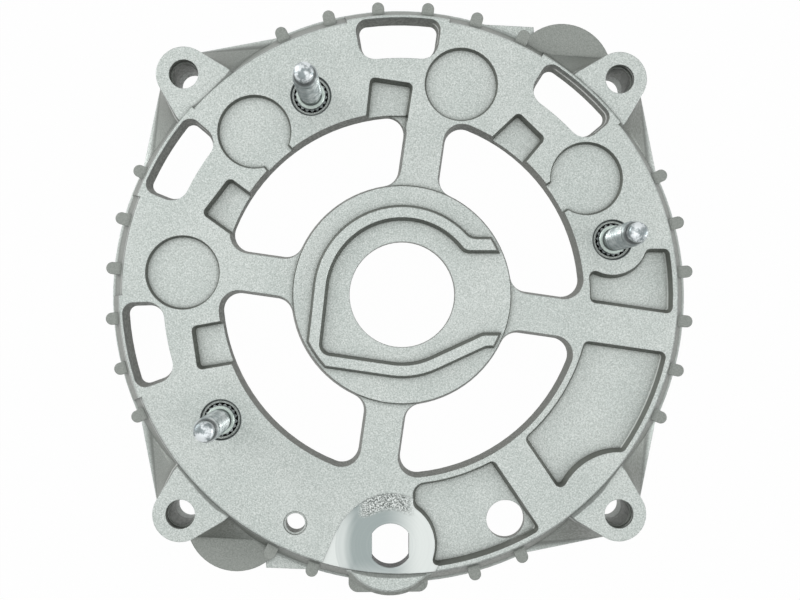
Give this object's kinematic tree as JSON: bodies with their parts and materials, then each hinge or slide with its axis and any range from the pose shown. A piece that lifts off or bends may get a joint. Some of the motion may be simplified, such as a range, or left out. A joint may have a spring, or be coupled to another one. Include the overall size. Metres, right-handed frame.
{
  "type": "alternator end housing",
  "caption": "Round die-cast end housing with a spoked hub, vent slots, shallow pockets, bolt ears, edge ribs and pressed-in threaded studs.",
  "frame": {"origin": "centre of the stator register at the joint face", "axes": "+Z along the shaft axis out of the rear face, +Y away from the terminal boss"},
  "size_m": [0.1512, 0.1522, 0.0391],
  "materials": {
    "cast_aluminium": "as-cast, fine grained",
    "zinc_steel": "bright zinc plated"
  },
  "bodies": {
    "root": {"housing": "cast_aluminium", "stud_1": "zinc_steel", "stud_2": "zinc_steel", "stud_3": "zinc_steel"}
  },
  "joints": []
}
